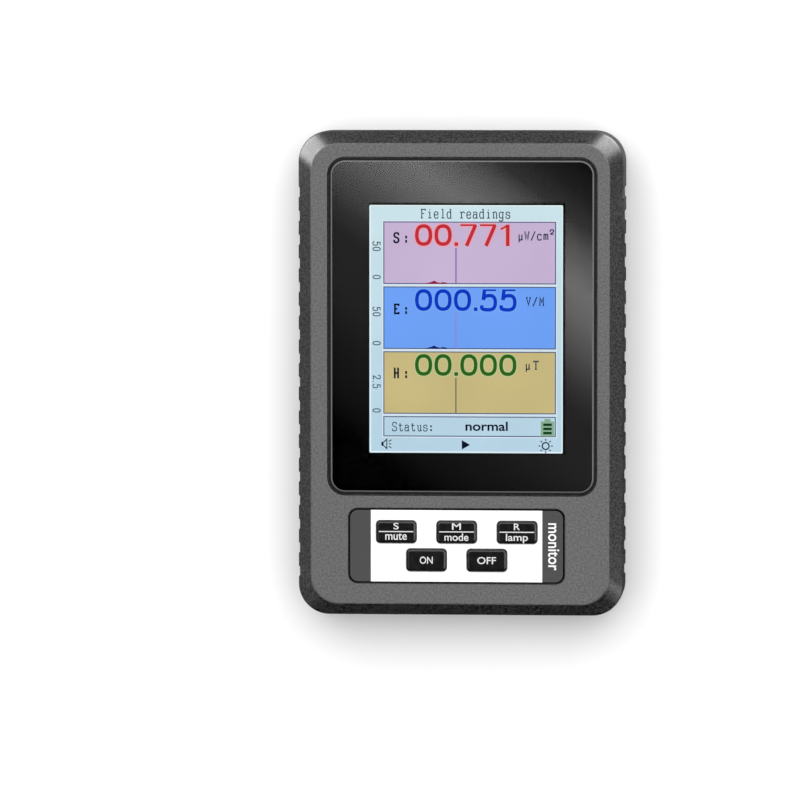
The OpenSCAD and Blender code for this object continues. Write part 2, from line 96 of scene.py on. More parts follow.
class Graph:
    """One material: its Principled shader, and calls that add nodes in front of it."""

    def __init__(self, name, color, roughness, constants=None):
        self.material = bpy.data.materials.new(name)
        self.material.use_nodes = True
        self.tree = self.material.node_tree
        self.shader = self.tree.nodes["Principled BSDF"]
        self.place = self.add("ShaderNodeTexCoord").outputs["Object"]
        self.set("Base Color", (*color, 1))
        self.set("Roughness", roughness)
        for socket, value in (constants or {}).items():
            self.set(socket, value)

    def add(self, kind, settings=None, inputs=None):
        """A new node, its settings made and its inputs fed."""
        node = self.tree.nodes.new(kind)
        for name, value in (settings or {}).items():
            setattr(node, name, value)
        for name, value in (inputs or {}).items():
            self.feed(node.inputs[name], value)
        return node

    def feed(self, socket, value):
        """Links an output to an input socket, or sets the socket to a constant."""
        if isinstance(value, bpy.types.NodeSocket):
            self.tree.links.new(value, socket)
        else:
            socket.default_value = value

    def set(self, name, value):
        """Feeds one of the shader's own inputs."""
        self.feed(self.shader.inputs[name], value)

    def stretched(self, stretch):
        """Object coordinates, stretched along each axis."""
        return self.add("ShaderNodeMapping", None, {"Vector": self.place, "Scale": stretch}).outputs[0]

    def noise(self, grain, detail=2.0, stretch=None):
        """Noise from 0 to 1 whose grains are about that many millimetres wide."""
        place = self.stretched(stretch) if stretch else self.place
        inputs = {"Vector": place, "Scale": 1 / (grain * MM), "Detail": detail, "Roughness": 0.55}
        return self.add("ShaderNodeTexNoise", None, inputs).outputs["Fac"]

    def waves(self, axis, width, distortion=0.0):
        """Parallel ridges from 0 to 1, one after another along an axis, their width in millimetres."""
        inputs = {"Vector": self.place, "Scale": 0.5 / (width * MM), "Distortion": distortion}
        return self.add("ShaderNodeTexWave", {"bands_direction": axis}, inputs).outputs["Fac"]

    def axis(self, name):
        """The X, Y or Z object coordinate, in metres."""
        return self.add("ShaderNodeSeparateXYZ", None, {"Vector": self.place}).outputs[name]

    def levelness(self, normal):
        """1 where the surface lies flat and 0 where it stands upright, by "Normal" or "True Normal"."""
        direction = self.add("ShaderNodeNewGeometry").outputs[normal]
        height = self.add("ShaderNodeSeparateXYZ", None, {"Vector": direction}).outputs["Z"]
        return self.maths("ABSOLUTE", height)

    def away(self, name, at):
        """The distance in metres from the place at, in millimetres, along the X or Y axis."""
        return self.maths("ABSOLUTE", self.maths("SUBTRACT", self.axis(name), at * MM))

    def maths(self, operation, first, second=0.0):
        node = self.add("ShaderNodeMath", {"operation": operation})
        self.feed(node.inputs[0], first)
        self.feed(node.inputs[1], second)
        return node.outputs[0]

    def spread(self, value, low, high, to_low=0.0, to_high=1.0):
        """Maps value from low..high to to_low..to_high, and holds it there."""
        inputs = {"Value": value, "From Min": low, "From Max": high, "To Min": to_low, "To Max": to_high}
        return self.add("ShaderNodeMapRange", {"clamp": True}, inputs).outputs[0]

    def vary(self, noise, to_low, to_high):
        """Spreads a noise, which mostly stays between 0.3 and 0.7, over to_low..to_high."""
        return self.spread(noise, 0.3, 0.7, to_low, to_high)

    def blend(self, factor, first, second):
        """A colour between first, at factor 0, and second, at 1."""
        node = self.add("ShaderNodeMix", {"data_type": "RGBA"})
        self.feed(node.inputs[0], factor)
        for socket, value in ((node.inputs[6], first), (node.inputs[7], second)):
            self.feed(socket, value if isinstance(value, bpy.types.NodeSocket) else (*value, 1))
        return node.outputs[2]

    def tone(self, color, factor):
        """color, made lighter or darker by factor."""
        node = self.add("ShaderNodeVectorMath", {"operation": "SCALE"})
        self.feed(node.inputs[0], color)
        self.feed(node.inputs["Scale"], factor)
        return node.outputs[0]

    def relief(self, height, depth, normal=None):
        """Bumps that stand up to depth millimetres where height is 1."""
        inputs = {"Height": height, "Strength": 1.0, "Distance": depth * MM}
        if normal is not None:
            inputs["Normal"] = normal
        return self.add("ShaderNodeBump", None, inputs).outputs[0]

    def softened(self, radius):
        """A normal that rounds edges by radius millimetres."""
        return self.add("ShaderNodeBevel", {"samples": 4}, {"Radius": radius * MM}).outputs[0]


SOFT_GLOSS = {"Specular IOR Level": 0.35}
NO_GLOSS = {"Specular IOR Level": 0.0}


def moulded(name, color, roughness, grain, depth, mottle, edge, constants=None):
    """Spark-textured moulded plastic, mottled by a share of its colour.

    The grain, its depth and the radius that softens the edges are in millimetres."""
    graph = Graph(name, color, roughness, constants)
    speckle = graph.noise(grain)
    cloud = graph.noise(grain * 30, 1.0)
    tone = graph.maths("ADD", graph.vary(speckle, 1 - mottle, 1 + mottle),
                       graph.vary(cloud, -0.03, 0.03))
    graph.set("Base Color", graph.tone(color, tone))
    graph.set("Roughness", graph.vary(cloud, roughness - 0.04, roughness + 0.05))
    normal = graph.softened(edge) if edge else None
    graph.set("Normal", graph.relief(speckle, depth, normal))
    return graph.material


def sheet_metal(name, color, roughness, stretch=(1, 12, 1)):
    """Drawn or rolled metal, with fine lines along one axis and light handling marks."""
    graph = Graph(name, color, roughness, {"Metallic": 1.0})
    lines = graph.noise(0.6, 3.0, stretch)
    marks = graph.noise(2.5, 2.0)
    graph.set("Base Color", graph.tone(color, graph.vary(lines, 0.9, 1.06)))
    graph.set("Roughness", graph.vary(marks, roughness - 0.06, roughness + 0.12))
    graph.set("Normal", graph.relief(lines, 0.001, graph.softened(0.06)))
    return graph.material


def printed(name, color):
    """Screen-printed ink: nearly even, with a slight unevenness in gloss and cover."""
    graph = Graph(name, color, 0.35)
    cover = graph.noise(0.12)
    graph.set("Base Color", graph.tone(color, graph.vary(cover, 0.97, 1.0)))
    graph.set("Roughness", graph.vary(cover, 0.3, 0.4))
    return graph.material


def lit(name, color, low_color=None):
    """Part of the display's picture. It glows by itself, a little unevenly.

    If low_color is given, the colour turns to it towards the picture's lower end."""
    graph = Graph(name, BLACK, 0.5, {**NO_GLOSS, "Emission Strength": 1.0})
    height = graph.spread(graph.axis("Y"), screen_low_y * MM, screen_high_y * MM)
    cloud = graph.vary(graph.noise(14, 1.0), 0.97, 1.03)
    graded = graph.blend(height, low_color or color, color)
    graph.set("Emission Color", graph.tone(graded, cloud))
    return graph.material


# ---------- Pieces made of plates, rings and print ----------

def add_piece(name, mesh, material, slot, body="case"):
    """Links a mesh to the scene as a piece that rides on a body."""
    piece = bpy.data.objects.new(name, mesh)
    scene.collection.objects.link(piece)
    mesh.materials.clear()
    mesh.materials.append(material)
    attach(piece, body)
    return piece


def to_mesh(name, form):
    """Ends a bmesh: outward normals, then a mesh in metres."""
    bmesh.ops.recalc_face_normals(form, faces=form.faces)
    bmesh.ops.scale(form, vec=(MM, MM, MM), verts=form.verts)
    mesh = bpy.data.meshes.new(name)
    form.to_mesh(mesh)
    form.free()
    return mesh


def plate(form, outline, low, high):
    """Adds a closed plate over an outline, from height low to high."""
    under = [form.verts.new((x, y, low)) for x, y in outline]
    over = [form.verts.new((x, y, high)) for x, y in outline]
    form.faces.new(over)
    form.faces.new(reversed(under))
    for i in range(len(outline)):
        j = (i + 1) % len(outline)
        form.faces.new((under[i], under[j], over[j], over[i]))


def ring(form, outer, inner, low, high):
    """Adds a closed flat ring between two outlines with the same number of points."""
    loops = [[form.verts.new((x, y, z)) for x, y in outline]
             for outline, z in ((outer, low), (outer, high), (inner, high), (inner, low))]
    count = len(outer)
    for a in range(4):
        here, there = loops[a], loops[(a + 1) % 4]
        for i in range(count):
            j = (i + 1) % count
            form.faces.new((here[i], here[j], there[j], there[i]))


def arc(x, y, radius, start, end, steps):
    """Points on an arc, angles in degrees."""
    turns = [math.radians(start + (end - start) * i / steps) for i in range(steps + 1)]
    return [(x + radius * math.cos(a), y + radius * math.sin(a)) for a in turns]


def rectangle(x, y, width, height):
    """The outline of a rectangle centred on x, y."""
    half_w, half_h = width / 2, height / 2
    return [(x + half_w, y + half_h), (x - half_w, y + half_h),
            (x - half_w, y - half_h), (x + half_w, y - half_h)]


def plates(name, outlines, low, high, material, slot, body="case"):
    """One piece made of plates over several outlines."""
    form = bmesh.new()
    for outline in outlines:
        plate(form, outline, low, high)
    return add_piece(name, to_mesh(name, form), material, slot, body)


def letters(text, weight):
    """A mesh of text in Blender's own font, with a flat front and back."""
    curve = bpy.data.curves.new("letters", "FONT")
    curve.body = text
    curve.offset = weight
    curve.extrude = 0.5
    curve.resolution_u = 6
    holder = bpy.data.objects.new("letters", curve)
    scene.collection.objects.link(holder)
    bpy.context.view_layer.update()
    evaluated = holder.evaluated_get(bpy.context.evaluated_depsgraph_get())
    mesh = bpy.data.meshes.new_from_object(evaluated)
    bpy.data.objects.remove(holder)
    bpy.data.curves.remove(curve)
    return mesh


def text_piece(name, text, at, height, width, low, high, material, slot, body="case",
               weight=0.01, turn=0.0):
    """Raised print that fills a box of that height and width, centred on at = (x, y).

    weight thickens the letters, which are 1 high before they are scaled. turn is clockwise, in degrees."""
    mesh = letters(text, weight)
    corners = [vertex.co for vertex in mesh.vertices]
    lowest = Vector(min(corner[i] for corner in corners) for i in range(3))
    highest = Vector(max(corner[i] for corner in corners) for i in range(3))
    size = highest - lowest
    mesh.transform(Matrix.Translation(-(lowest + highest) / 2))
    mesh.transform(Matrix.Diagonal((width / size.x, height / size.y, (high - low) / size.z, 1)))
    mesh.transform(Matrix.Rotation(-math.radians(turn), 4, "Z"))
    mesh.transform(Matrix.Translation((at[0], at[1], (low + high) / 2)))
    mesh.transform(Matrix.Scale(MM, 4))
    return add_piece(name, mesh, material, slot, body)


# ---------- Materials of the CAD nodes ----------

face_grey = srgb(87, 87, 87)
# Painted shade: a darker grey that the front shell's bevels and sides get for the shade they fall in. The
# rear shell has the same grey.
rear_grey_and_painted_shade = srgb(40, 40, 40)
bevel_drop = 3.6
bevel_z = face_z - bevel_drop


def case_plastic():
    """Front shell: even mid grey on the face, coarser on the bevels, matt on the sides. The bevels and
    sides are painted a darker grey, as shade.
    """
    graph = Graph("case_front", face_grey, 0.5, SOFT_GLOSS)
    on_face = graph.spread(graph.axis("Z"), (face_z - 0.3) * MM, (face_z - 0.1) * MM)
    on_side = graph.spread(graph.axis("Z"), (bevel_z - 0.1) * MM, (bevel_z + 0.3) * MM, 1, 0)
    coarse = graph.noise(0.5, 3.0)
    fine = graph.noise(0.2, 2.0)
    cloud = graph.noise(9, 1.0)
    face = graph.tone(face_grey, graph.spread(coarse, 0.38, 0.62, 0.78, 1.22))
    # Painted shade: the bevels and sides take the darker grey instead of the face's grey.
    bevel = graph.tone(rear_grey_and_painted_shade, graph.spread(coarse, 0.42, 0.58, 0.1, 1.9))
    side = graph.tone(rear_grey_and_painted_shade, graph.spread(coarse, 0.36, 0.64, 0.7, 1.3))
    graph.set("Base Color", graph.blend(on_side, graph.blend(on_face, bevel, face), side))
    dullness = graph.maths("ADD", graph.spread(on_face, 0, 1, 0.3, 0.5),
                           graph.spread(on_side, 0, 1, 0, 0.6))
    graph.set("Roughness", graph.maths("ADD", dullness, graph.vary(cloud, -0.03, 0.03)))
    graph.set("Normal", graph.relief(fine, 0.008, graph.softened(0.15)))
    return graph.material


def lens_glass():
    """Clear lens with a frosted rim, pale on the shallow bevel. Its steep outer edge is painted dark, as
    shade of the gap around the lens.
    """
    graph = Graph("clear_lens", WHITE, 0.02, {"IOR": 1.49})
    level = graph.levelness("Normal")
    flat = graph.spread(level, 0.98, 0.995)
    bevel = graph.spread(level, 0.82, 0.93)
    haze = graph.noise(3, 2.0)
    # Painted shade: the steep outer edge is dark for the gap around the lens.
    rim_and_gap_shade = graph.blend(bevel, srgb(36, 36, 36), srgb(86, 86, 87))
    graph.set("Base Color", graph.blend(flat, rim_and_gap_shade, WHITE))
    graph.set("Roughness", graph.maths("MAXIMUM", graph.spread(flat, 0, 1, 0.3, 0.0),
                                       graph.spread(haze, 0.35, 0.75, 0.0, 0.015)))
    graph.set("Transmission Weight", flat)
    return graph.material


def key_plastic():
    """Glossy black keys with faint finger haze."""
    color = srgb(15, 15, 15)
    graph = Graph("key_black", color, 0.1)
    haze = graph.noise(1.8, 3.0)
    graph.set("Roughness", graph.vary(haze, 0.06, 0.13))
    graph.set("Base Color", graph.tone(color, graph.vary(haze, 0.7, 1.3)))
    graph.set("Normal", graph.relief(graph.noise(0.5), 0.0015, graph.softened(0.25)))
    return graph.material


# The panel's print: the grey strips' width. Then the width and corner radius of its black outline, which is
# painted shade of the gap around the panel.
strip_w = 5.35
gap_shade_w = 0.26
gap_shade_radius = 2.2


def panel_film():
    """Satin white film with a grey strip at each end. A thin black outline and black cut edges are painted
    shade of the gaps around the panel and its keys.
    """
    graph = Graph("panel_white", WHITE, 0.32)
    offset = graph.away("X", panel.x)
    rise = graph.away("Y", panel.y)
    edge = (panel_half_w - strip_w) * MM
    strip = graph.spread(offset, edge - 0.01 * MM, edge + 0.01 * MM)
    # Painted shade: the black outline along the film's edge stands for the gap around the panel.
    past = [graph.maths("MAXIMUM", graph.maths("SUBTRACT", away, (half - gap_shade_radius) * MM), 0.0)
            for away, half in ((offset, panel_half_w), (rise, panel_half_h))]
    squares = [graph.maths("MULTIPLY", part, part) for part in past]
    reach = graph.maths("SQRT", graph.maths("ADD", *squares))
    inner = (gap_shade_radius - gap_shade_w) * MM
    outline = graph.spread(reach, inner - 0.02 * MM, inner + 0.02 * MM)
    # Painted shade: the film's cut edges, in the key openings and around the panel, are black.
    cut_edge_shade = graph.spread(graph.levelness("True Normal"), 0.3, 0.7, 1, 0)
    outline = graph.maths("MAXIMUM", outline, cut_edge_shade)
    cover = graph.noise(0.25)
    tone = graph.vary(cover, 0.97, 1.0)
    field = graph.blend(strip, srgb(252, 252, 252), srgb(55, 55, 56))
    graph.set("Base Color", graph.tone(graph.blend(outline, field, BLACK), tone))
    graph.set("Roughness", graph.vary(cover, 0.28, 0.36))
    graph.set("Specular IOR Level", graph.spread(outline, 0, 1, 0.35, 0.0))
    graph.set("Normal", graph.relief(cover, 0.001, graph.softened(0.1)))
    return graph.material


def board_mask():
    """Green solder mask over the copper tracks' relief."""
    graph = Graph("board_green", srgb(12, 80, 42), 0.3)
    bricks = graph.add("ShaderNodeTexBrick", {"offset": 0.37},
                       {"Vector": graph.place, "Scale": 1 / (2.6 * MM), "Mortar Size": 0.09,
                        "Brick Width": 1.7, "Row Height": 0.5}).outputs["Fac"]
    graph.set("Base Color", graph.blend(bricks, srgb(12, 78, 40), srgb(30, 112, 62)))
    graph.set("Roughness", graph.vary(graph.noise(0.8), 0.22, 0.4))
    graph.set("Normal", graph.relief(bricks, 0.03))
    return graph.material


def wound_wire():
    """Enamelled copper wire, its turns side by side along the Y axis, with painted shade darkening the
    grooves between them.
    """
    color = srgb(176, 92, 44)
    graph = Graph("copper_wire", color, 0.3, {"Metallic": 1.0})
    turns = graph.waves("Y", 0.35, 0.4)
    # Painted shade: darker in the grooves between the turns.
    graph.set("Base Color", graph.tone(color, graph.spread(turns, 0, 1, 0.45, 1.1)))
    graph.set("Normal", graph.relief(turns, 0.08))
    return graph.material


def sound_cloth():
    """Fine woven acoustic cloth."""
    graph = Graph("mesh_cloth", srgb(24, 24, 25), 0.85, {"Sheen Weight": 0.3})
    weave = graph.maths("MULTIPLY", graph.waves("X", 0.3), graph.waves("Y", 0.3))
    graph.set("Base Color", graph.tone(srgb(34, 34, 36), graph.spread(weave, 0, 1, 0.3, 1.3)))
    graph.set("Normal", graph.relief(weave, 0.05))
    return graph.material


def clear_glass(name, color):
    """Thin glass with faint haze."""
    graph = Graph(name, color, 0.03, {"IOR": 1.5, "Transmission Weight": 1.0})
    graph.set("Roughness", graph.spread(graph.noise(4), 0.35, 0.75, 0.01, 0.06))
    return graph.material


def foil():
    """The battery's laminated foil: silver, softly creased."""
    graph = Graph("foil_pouch", srgb(196, 198, 200), 0.34, {"Metallic": 1.0})
    crease = graph.noise(5, 3.0)
    graph.set("Roughness", graph.vary(crease, 0.26, 0.45))
    graph.set("Normal", graph.relief(crease, 0.12, graph.softened(0.3)))
    return graph.material


# Colour, roughness, grain, depth of the grain, mottling and softened edge.
plastics = {
    # The rear shell's grey is the one painted on the front shell's bevels and sides as shade.
    "case_rear": (rear_grey_and_painted_shade, 0.85, 0.5, 0.01, 0.3, 0.2, SOFT_GLOSS),
    "window_black": (srgb(5, 5, 6), 0.8, 0.4, 0.0005, 0.1, 0, NO_GLOSS),
    "black_tape": (srgb(26, 26, 26), 0.9, 0.4, 0.03, 0.3, 0),
    "switch_plastic": (srgb(34, 34, 35), 0.45, 0.15, 0.004, 0.1, 0.08),
    "display_film": (srgb(14, 16, 17), 0.3, 0.2, 0.0005, 0.1, 0),
    "backlight_white": (srgb(236, 236, 230), 0.5, 0.5, 0.002, 0.03, 0.08),
    "bracket_black": (srgb(30, 30, 31), 0.5, 0.25, 0.006, 0.12, 0.12),
    "polyimide": (srgb(176, 112, 32), 0.28, 0.8, 0.003, 0.1, 0),
    "cream_nylon": (srgb(226, 218, 192), 0.42, 0.2, 0.004, 0.05, 0.08),
    "chip_black": (srgb(30, 30, 31), 0.55, 0.12, 0.005, 0.15, 0.06),
    "passive_tan": (srgb(168, 138, 100), 0.4, 0.2, 0.004, 0.12, 0.06),
    "ferrite": (srgb(62, 62, 64), 0.6, 0.2, 0.015, 0.2, 0.1),
    "capacitor_blue": (srgb(34, 84, 170), 0.22, 0.8, 0.01, 0.06, 0.1),
    "red_insulation": (srgb(190, 26, 22), 0.35, 0.5, 0.003, 0.05, 0),
    "black_insulation": (srgb(22, 22, 22), 0.35, 0.5, 0.003, 0.08, 0),
    "black_moulding": (srgb(24, 24, 25), 0.42, 0.2, 0.005, 0.12, 0.08),
    "label_silver": (srgb(196, 198, 200), 0.34, 0.25, 0.002, 0.04, 0),
}

# Colour, roughness and, where it isn't the usual one, the stretch that turns noise into lines.
metals = {
    "tinned_steel": (srgb(200, 200, 196), 0.32),
    "spring_steel": (srgb(206, 206, 208), 0.24),
    "brass_strip": (srgb(206, 178, 106), 0.3, (12, 1, 1)),
    "tube_metal": (srgb(150, 152, 156), 0.38, (12, 1, 1)),
    "black_screw": (srgb(58, 58, 62), 0.36, (1, 1, 8)),
}

materials = {
    "case_front": case_plastic(),
    "clear_lens": lens_glass(),
    "panel_white": panel_film(),
    "key_black": key_plastic(),
    "display_glass": clear_glass("display_glass", srgb(150, 160, 165)),
    "tube_glass": clear_glass("tube_glass", srgb(238, 244, 244)),
    "board_green": board_mask(),
    "copper_wire": wound_wire(),
    "foil_pouch": foil(),
    "mesh_cloth": sound_cloth(),
}
materials.update({slot: moulded(slot, *look) for slot, look in plastics.items()})
materials.update({slot: sheet_metal(slot, *look) for slot, look in metals.items()})

crisp_edge = math.radians(24)

for subpart in frame["record"]["subparts"]:
    node = frame["nodes"][subpart["node"]]
    node.data.materials.clear()
    node.data.materials.append(materials[subpart["material_slot"]])
    node.data.shade_smooth()
    node.data.set_sharp_from_angle(angle=crisp_edge)
    weigh = node.modifiers.new("face_normals", "WEIGHTED_NORMAL")
    weigh.keep_sharp = True
    weigh.weight = 100


# ---------- Drawn strokes, for the display's letters and icons ----------

def smoothed(points, rounds=3):
    """Rounds a path by cutting its corners. A path that ends where it starts stays closed."""
    closed = points[0] == points[-1]
    for _ in range(rounds):
        cut = []
        for (ax, ay), (bx, by) in zip(points, points[1:]):
            cut += [(ax + (bx - ax) * share, ay + (by - ay) * share) for share in (0.25, 0.75)]
        points = cut + [cut[0]] if closed else [points[0]] + cut + [points[-1]]
    return points


def ribbon(form, points, width, low, high):
    """Adds a stroke of that width along a path, closed if the path is."""
    closed = math.dist(points[0], points[-1]) < 1e-6
    if closed:
        points = points[:-1]
    count = len(points)
    left, right = [], []
    for i, (x, y) in enumerate(points):
        before = points[i - 1] if i or closed else None
        after = points[(i + 1) % count] if i < count - 1 or closed else None
        sides = []
        for here, there in ((before, (x, y)), ((x, y), after)):
            if here and there:
                run = Vector((there[0] - here[0], there[1] - here[1])).normalized()
                sides.append(Vector((-run.y, run.x)))
        side = sum(sides, Vector((0, 0))).normalized()
        reach = width / 2 / max(0.4, side.dot(sides[0]))
        left.append((x + side.x * reach, y + side.y * reach))
        right.append((x - side.x * reach, y - side.y * reach))
    if closed:
        ring(form, left, right, low, high)
    else:
        plate(form, left + right[::-1], low, high)


# Letters on a grid, capitals 6 high and small letters 4. Strokes are parted by |, and ~ starts a curve.
GLYPHS = {
    "E": ".7,0 .7,6|0,6 3.2,6 3.2,5|.7,3.1 2.3,3.1|0,0 3.2,0 3.2,1",
    "F": ".7,0 .7,6|0,6 3.2,6 3.2,5|.7,3.1 2.3,3.1|0,0 1.6,0",
    "H": ".6,0 .6,6|2.8,0 2.8,6|.6,3 2.8,3|0,0 1.2,0|2.2,0 3.4,0|0,6 1.2,6|2.2,6 3.4,6",
    "M": ".5,0 .5,6 1.8,2.4 3.1,6 3.1,0|0,0 1,0|2.6,0 3.6,0",
    "S": "~3,4.5 3,6.2 .3,6.2 .2,3.5 3.2,2.7 3.1,-.2 .2,-.2 .2,1.6",
    "T": ".2,5 .2,6 3.4,6 3.4,5|1.8,6 1.8,0|1,0 2.6,0",
    "V": "0,6 1.1,6|2.5,6 3.6,6|.4,6 1.8,.2 3.2,6",
    "W": "0,6 .8,6|2.8,6 3.6,6|.3,6 1,.2 1.8,4.4 2.6,.2 3.3,6",
    "a": "~.5,3 .5,4.2 2.8,4.2 2.7,2.2|2.7,2.8 2.7,0 3.4,0|~2.7,2.3 .2,2.5 .2,-.2 2.2,-.2 2.7,1",
    "c": "~3,2.8 2.9,4.2 .3,4.2 .3,-.2 2.9,-.2 3.1,1",
    "d": "1.9,6 2.7,6 2.7,0 3.4,0|~2.7,3 2.5,4.2 .2,4.2 .2,-.2 2.5,-.2 2.7,1",
    "e": ".4,2.1 2.9,2.1|~2.9,2.1 2.9,4.3 .3,4.3 .3,-.2 2.8,-.2 3,1",
    "g": "3.4,4 2.7,4 2.7,-.6|~2.7,-.2 2.7,-2.1 .4,-2.1 .3,-1.2|~2.7,3 2.5,4.2 .2,4.2 .2,0 2.5,0 2.7,1.2",
    "i": ".8,4 1.8,4 1.8,0|.7,0 2.9,0|1.8,5.2 1.8,5.9",
    "l": ".8,6 1.8,6 1.8,0|.7,0 2.9,0",
    "m": "0,4 .4,4 .4,0|~.4,2.6 .5,4.3 1.8,4.2 1.8,0|~1.8,2.6 1.9,4.3 3.3,4.2 3.3,0",
    "n": "0,4 .8,4 .8,0|.2,0 1.5,0|2.2,0 3.5,0|~.8,2.4 .9,4.3 2.9,4.3 2.9,0",
    "r": "0,4 1.1,4 1.1,0|.2,0 2.2,0|~1.1,2.2 1.3,4.2 3,4.3 3.2,3.2",
    "s": "~2.8,2.9 2.8,4.2 .4,4.2 .4,2.1 3,2.1 3,-.2 .3,-.2 .3,1.2",
    "t": ".2,4 2.8,4|~1.2,5.6 1.2,-.2 2.9,-.2 3,1",
    "u": "0,4 .8,4|~.8,4 .8,-.2 2.7,-.2 2.7,1.8|2,4 2.8,4 2.8,0 3.5,0",
    "\u00b5": "~.7,4 .7,-.2 2.7,-.2 2.7,1.8|.7,1 .7,-2|2.8,4 2.8,0 3.5,0",
    "\u00b2": "~.2,6 .4,7.6 2.9,7.6 2.8,5.9 .3,4.3|.2,4.3 3,4.3",
    "0": "~.3,6.1 3.1,6.1 3.1,-.1 .3,-.1 .3,6.1",
    "2": "~.3,4.3 .3,6.2 3.2,6.2 3.2,3.8 .3,.2|.2,.1 3.2,.1 3.2,1",
    "5": "3,6 .7,6 .6,3.3|~.6,3.2 1.3,3.9 3.2,3.9 3.2,-.2 .3,-.2 .3,1.3",
    "/": ".3,-.6 3.2,6.4",
    ":": ".6,.2 1.9,.2|.6,.9 1.9,.9|.6,3 1.9,3|.6,3.7 1.9,3.7",
    ".": "1.2,.1 2,.1",
    " ": "",
}

# The readings' figures, in millimetres. A stroke after ! is thin.
FIGURES = {
    "0": "~.44,4.87 3.77,4.87 3.77,.44 .44,.44 .44,4.87",
    "1": "2.05,0 2.05,5.25|!2,5 .3,4.1",
    "5": "!3.95,5.1 .85,5.1|1.15,5.25 .85,2.7|~.85,2.75 1.3,3.8 3.8,3.75 3.8,.3 .5,.3 .45,1.4",
    "7": "!0,5.1 3.95,5.1|3.7,5.1 1.5,0",
}
figure_pitch = 4.78
figure_line = 0.87
thin_share = 0.5
point_pitch = 1.57
point_size = 0.88


def strokes_of(drawing):
    """The paths of a glyph, each with whether it is thin. An empty glyph has none."""
    for stroke in filter(None, drawing.split("|")):
        pairs = stroke.strip("~!").split()
        points = [tuple(float(value) for value in pair.split(",")) for pair in pairs]
        yield (smoothed(points) if stroke.startswith("~") else points), stroke.startswith("!")


def spell(form, text, x, y, style, pitch, low, high, turned=False):
    """Adds stroke letters from x, y rightwards, or downwards if turned.

    style is their cap height and stroke width."""
    cap, line = style
    unit = cap / 6
    for i, letter in enumerate(text):
        for path, _ in strokes_of(GLYPHS[letter]):
            path = [(i * pitch + px * unit, py * unit) for px, py in path]
            path = [(x + py, y - px) if turned else (x + px, y + py) for px, py in path]
            ribbon(form, path, line, low, high)


def spell_reading(form, text, x, y, extra, low, high):
    """Adds a reading's large figures, their strokes widened by extra."""
    for letter in text:
        if letter == ".":
            side = point_size + extra
            plate(form, rectangle(x + 0.56, y + point_size / 2, side, side), low, high)
            x += point_pitch
            continue
        for path, thin in strokes_of(FIGURES[letter]):
            line = (thin_share if thin else 1) * figure_line + extra
            ribbon(form, [(x + px, y + py) for px, py in path], line, low, high)
        x += figure_pitch


# ---------- The display's picture ----------

screen_w = 47.5
screen_h = 60.8
screen_low_y = display.y - screen_h / 2
screen_high_y = display.y + screen_h / 2
layer = 0.02
line_w = 0.25
edge_w = 0.35


def at_layer(n):
    """Lowest and highest level of the picture's n-th layer."""
    return display_z + n * layer, display_z + (n + 0.8) * layer


def drawn(name, draw, material):
    """A piece of the picture, made of whatever draw adds to an empty form."""
    form = bmesh.new()
    draw(form)
    return add_piece(name, to_mesh(name, form), material, "display_film")


def screen_plates(name, outlines, n, material):
    """A piece of the picture made of plates, on the n-th layer."""
    return plates(name, outlines, *at_layer(n), material, "display_film")


def screen_frames(name, rects, line, n, material):
    """A piece of the picture made of thin frames, on the n-th layer. rects are (x, y, width, height)."""
    def draw(form):
        for x, y, width, height in rects:
            inner = rectangle(x, y, width - 2 * line, height - 2 * line)
            ring(form, rectangle(x, y, width, height), inner, *at_layer(n))
    return drawn(name, draw, material)


def screen_word(name, text, x, y, style, pitch, n, material):
    """A piece of the picture made of stroke letters, on the n-th layer."""
    return drawn(name, lambda form: spell(form, text, x, y, style, pitch, *at_layer(n)), material)


ground_lit = lit("screen_pale", srgb(211, 236, 243), srgb(188, 218, 236))
screen_plates("screen_ground", [rectangle(display.x, display.y, screen_w + 1, screen_h + 1)], 1, ground_lit)
ink_lit = lit("screen_ink", srgb(26, 50, 76))
dark_ink_lit = lit("screen_dark_ink", srgb(12, 22, 44))
line_lit = lit("screen_lines", srgb(78, 92, 132))
glow_lit = lit("screen_glow", srgb(226, 240, 250))

# Cap height and stroke width of each kind of stroke letters.
title_style = (2.1, 0.24)
label_style = (2.2, 0.44)
unit_style = (1.95, 0.28)
scale_style = (1.7, 0.22)
status_style = (2.0, 0.22)

chart_x = display.x + 0.8
chart_w = 42.4
chart_h = 15.35
chart_pitch = 15.93
chart_top_y = display.y + 18.65
label_x = display.x - 17.8
label_pitch = 2.55
reading_x = display.x - 12.6
reading_rise = 1.7
halo_w = 0.6
cursor_x = display.x - 2.55
cursor_w = 0.28
cursor_gap = 0.5
scale_x = display.x - 22.9

# Every rise is over the chart's middle, and every x is from the picture's middle.
charts = [
    {"label": "S", "label_rise": 2.6, "reading": "00.771", "field": srgb(206, 185, 219),
     "figures": srgb(198, 48, 60), "halo": srgb(244, 168, 182), "cursor": srgb(118, 92, 166),
     "unit": "\u00b5W/cm\u00b2", "unit_x": 12.7, "unit_rise": 3.25, "unit_pitch": 1.55,
     "scale": "50", "scale_pitch": 1.35, "scale_rise": 2.75, "zero_rise": -5.5},
    {"label": "E", "label_rise": 1.05, "reading": "000.55", "field": srgb(115, 167, 254),
     "figures": srgb(14, 58, 198), "halo": srgb(120, 172, 250), "cursor": srgb(146, 140, 222),
     "unit": "V/M", "unit_x": 14.65, "unit_rise": 3.1, "unit_pitch": 1.62,
     "scale": "50", "scale_pitch": 1.35, "scale_rise": 2.65, "zero_rise": -5.8},
    {"label": "H", "label_rise": 1.25, "reading": "00.000", "field": srgb(206, 191, 133),
     "figures": srgb(44, 102, 28), "halo": srgb(196, 204, 150), "cursor": srgb(104, 96, 92),
     "unit": "\u00b5T", "unit_x": 14.5, "unit_rise": 3.4, "unit_pitch": 2.0,
     "scale": "2.5", "scale_pitch": 1.1, "scale_rise": 1.8, "zero_rise": -6.4},
]


